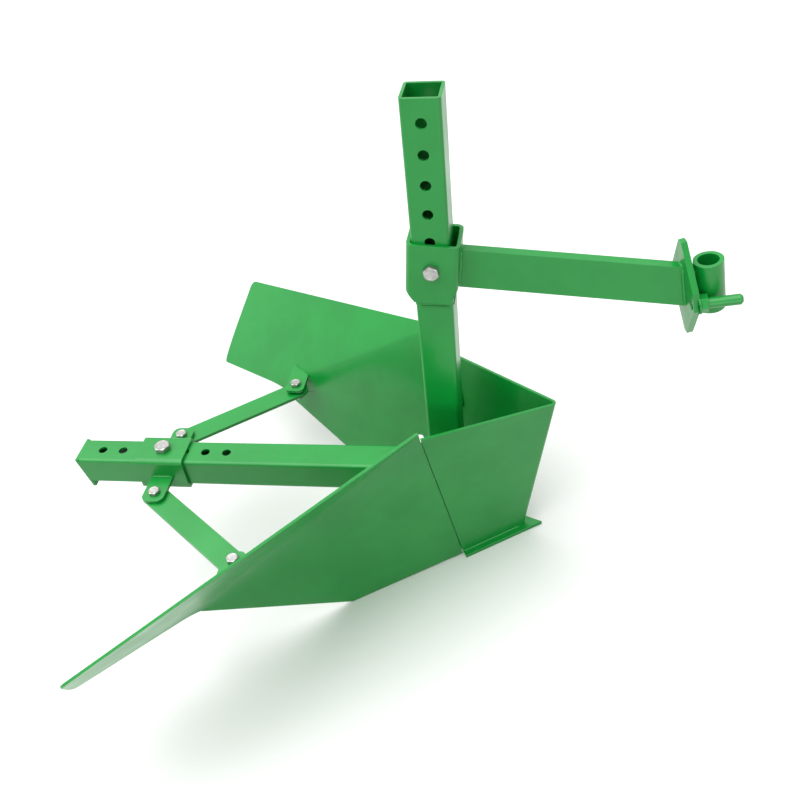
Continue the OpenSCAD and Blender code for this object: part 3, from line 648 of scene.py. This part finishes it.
for tag, y in (("right", -BAR_SIDE), ("left", BAR_SIDE)):
    x = y * lean_back - 0.4
    bead("weld_drawbar_plate_" + tag, hitch([[x, y, 28], [x, y, -29]]), 2.6, "drawbar_head")
bead("weld_drawbar_plate_top", hitch([[1.4, -7, 29.2], [-2.1, 7, 30.1]]), 2.4, "drawbar_head")
for tag, way in (("right", -1), ("left", 1)):
    y = way * WEB_SIDE
    x = PLATE_FRONT + y * lean_back
    bead("weld_plate_web_" + tag, hitch([[x, y, WEB_LOW], [x, y, WEB_TOP]]), 2.0, "drawbar_head")
    x, y = SOCKET_BACK, y * 1.06
    bead("weld_socket_web_" + tag, hitch([[x, y, WEB_LOW], [x, y, WEB_TOP]]), 2.0, "drawbar_head")
    around = np.linspace(0, 2 * np.pi, 40, endpoint=False)
    y = way * STOP_Y + NUT_RING * np.cos(around)
    seat = np.column_stack([PLATE_FRONT + y * lean_back, y, STOP_Z + NUT_RING * np.sin(around)])
    bead("weld_stop_nut_" + tag, hitch(seat), 1.7, "drawbar_head", closed=True)
print("drawbar and hitch welded")

# %% [markdown]
# ## Beads on the shank, the bar and the body
# The shank is two lengths of tube with a bead round their joint. The rear bar ends against it
# with a bead on all four sides, the leg and the panels stand on the sole, and the two lugs are
# welded to the sleeve over and under their plate.

# %% Beads on the shank, the bar and the body
HALF_TUBE, JOINT_Z, ROUND_R = 25.0, 457.6, 31.0
corner = np.linspace(0, 2 * np.pi, 80, endpoint=False)
square = np.clip(ROUND_R * np.stack([np.cos(corner), np.sin(corner)], -1), -HALF_TUBE, HALF_TUBE)
bead("weld_tube_joint", shank(np.column_stack([square, np.full(80, JOINT_Z)])), 1.5, "plough",
    closed=True)
for tag, z in (("top", 150.4), ("low", 97.6)):
    x = np.tan(np.radians(LEAN)) * z - HALF_TUBE - 0.5
    bead("weld_bar_shank_" + tag, bars([[x, -22, z], [x, 22, z]]), 2.8, "plough")
for tag, y in (("right", -26.0), ("left", 26.0)):
    bead("weld_bar_shank_" + tag, bars([[-22.5, y, 100], [-21, y, 148]]), 2.6, "plough")
lug_back, lug_front, lug_root = SLEEVE_X - 18, SLEEVE_X + 18, SLEEVE_OUT + 0.3
panel_from = nose_foot + 16 * unit(seam_foot - nose_foot)
for tag, place in (("left", as_drawn), ("right", mirrored)):
    bead("weld_leg_sole_" + tag, place([[-27, 25.3, 6.2], [20, 25.3, 6.2]]), 2.4, "plough")
    bead("weld_panel_sole_" + tag, place(np.array([panel_from, seam_foot]) + [0, 0, 0.6]), 1.9,
        "plough")
    for edge, z in (("top", 122.0), ("low", 116.0)):
        line = bars([[lug_back, lug_root, z], [lug_front, lug_root, z]])
        bead("weld_lug_" + edge + "_" + tag, place(line), 2.2, "sleeve")
print("shank, bar, body and lugs welded")

# %% [markdown]
# ## Floor
# The ridger stands on a plain pale floor, which keeps its soft shadow. The camera sees a white
# card, and so do gloss and glass, but the light that the floor throws back on the sides of the
# ridger is that of a greyer card, so the sides stay deeper than the tops.

# %% Floor
FLOOR_HALF = 6.0  # metres
floor_at = np.array([[-1, -1, 0], [1, -1, 0], [1, 1, 0], [-1, 1, 0]]) * FLOOR_HALF
floor_mesh = bpy.data.meshes.new("floor")
floor_mesh.from_pydata((floor_at - [0, 0, 0.0005]).tolist(), [], [(0, 1, 2, 3)])
floor = bpy.data.objects.new("floor", floor_mesh)
bpy.context.scene.collection.objects.link(floor)
white, t = new_material("matt_white_card")

def seen_white(tree):
    """1 for the rays that see the background: from the camera, off a gloss or through glass."""
    path = add(tree, "ShaderNodeLightPath")
    direct = add(tree, "ShaderNodeMath", {"operation": "MAXIMUM"}, i0=path.outputs["Is Camera Ray"],
        i1=path.outputs["Is Transmission Ray"])
    return add(tree, "ShaderNodeMath", {"operation": "MAXIMUM"}, i0=direct.outputs[0],
        i1=path.outputs["Is Glossy Ray"]).outputs[0]

tone = add(t, "ShaderNodeMix", {"data_type": "RGBA"}, i0=seen_white(t), i6=linear("#A4A4A2"),
    i7=linear("#F4F4F3"))
card = add(t, "ShaderNodeBsdfDiffuse", Color=tone.outputs[2])
add(t, "ShaderNodeOutputMaterial", Surface=card.outputs[0])
floor_mesh.materials.append(white)

# %% [markdown]
# ## Light
# The light is that of a bright ceiling, which is a very wide sun, with a weak soft lamp in
# front. The room is a dim white that is seen as full white, so the background stays clean.

# %% Light
lamp_place, lamp_aim = Vector((0.8, -2.7, 0.35)), Vector((0, 0, 0.2))
lamp_data = bpy.data.lights.new("front_fill", "AREA")
lamp_data.shape, lamp_data.size, lamp_data.energy = "DISK", 1.2, 16
lamp = bpy.data.objects.new("front_fill", lamp_data)
lamp.location = lamp_place
sun_data = bpy.data.lights.new("ceiling_light", "SUN")
sun_data.energy, sun_data.angle = 3.4, np.radians(80)
sun = bpy.data.objects.new("ceiling_light", sun_data)
for light, aim in ((lamp, lamp_aim - lamp_place), (sun, Vector((0.25, 0.05, -1.0)))):
    bpy.context.scene.collection.objects.link(light)
    light.rotation_mode = "QUATERNION"
    light.rotation_quaternion = aim.to_track_quat("-Z", "Y")
world = bpy.data.worlds.new("studio")
bpy.context.scene.world = world
world.use_nodes = True
world.node_tree.nodes.clear()
t = world.node_tree
room = add(t, "ShaderNodeBackground", Color=linear("#FFFFFF"), Strength=0.42)
card = add(t, "ShaderNodeBackground", Color=linear("#FFFFFF"), Strength=1.0)
both = add(t, "ShaderNodeMixShader", i0=seen_white(t), i1=room.outputs[0],
    i2=card.outputs[0])
add(t, "ShaderNodeOutputWorld", Surface=both.outputs[0])
